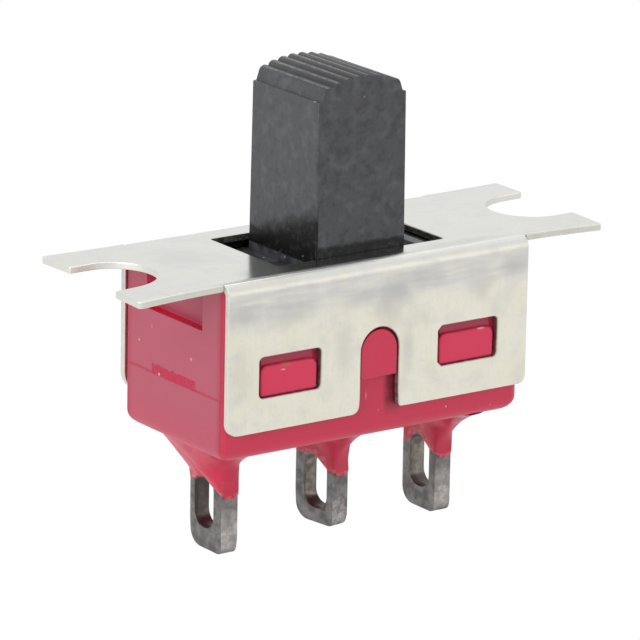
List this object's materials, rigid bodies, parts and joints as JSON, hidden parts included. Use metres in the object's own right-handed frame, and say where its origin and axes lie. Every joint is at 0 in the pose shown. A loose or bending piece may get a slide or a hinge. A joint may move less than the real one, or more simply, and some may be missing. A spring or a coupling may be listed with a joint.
{
  "type": "slide switch",
  "caption": "Panel slide switch: a ribbed post slides in a folded steel bracket with slotted ears, over a moulded case with solder-lug terminals.",
  "frame": {"origin": "centre of the actuator opening on the bracket's upper face, the face that lies against the back of a panel", "axes": "+X along the button's travel and the bracket's length, +Y across the switch from one side wall to the other, +Z out through the panel, away from the terminals"},
  "size_m": [0.0198, 0.0068, 0.0172],
  "materials": {
    "plated_steel": "tin-plated sheet steel, satin",
    "case_resin": "moulded phenolic resin, dark rose",
    "button_resin": "moulded dark grey resin, worn matt",
    "spring_steel": "drawn spring wire",
    "acetal": "natural acetal",
    "contact_bronze": "stamped phosphor bronze",
    "contact_silver": "silver contact facing",
    "terminal_metal": "tinned brass, tarnished grey",
    "seal_epoxy": "poured epoxy resin"
  },
  "bodies": {
    "housing": {"bracket": "plated_steel", "case": "case_resin", "epoxy_seal": "seal_epoxy", "end_terminal_left": "terminal_metal", "centre_terminal": "terminal_metal", "end_terminal_right": "terminal_metal", "fixed_contact_left": "contact_silver", "fixed_contact_right": "contact_silver"},
    "button": {"slide_button": "button_resin", "actuator_spring": "spring_steel"},
    "plunger": {"plunger": "acetal"},
    "rocker": {"contact_rocker": "contact_bronze", "moving_contact_left": "contact_silver", "moving_contact_right": "contact_silver"}
  },
  "joints": [
    {"name": "button_slide", "type": "slide", "parent": "housing", "child": "button", "axis": [1, 0, 0], "range_m": [-0.0015, 0.0015]},
    {"name": "plunger_press", "type": "slide", "parent": "button", "child": "plunger", "axis": [0, 0, 1], "range_m": [0, 0.0003], "stiffness_N_per_m": 800, "deforming": ["actuator_spring"]},
    {"name": "rocker_tilt", "type": "hinge", "parent": "housing", "child": "rocker", "pos_m": [0, 0, -0.00361], "axis": [0, 1, 0], "range_deg": [-6, 6]}
  ],
  "couplings": [
    {"joint": "rocker_tilt", "follows": "button_slide", "rad_per_m": 69.8}
  ]
}
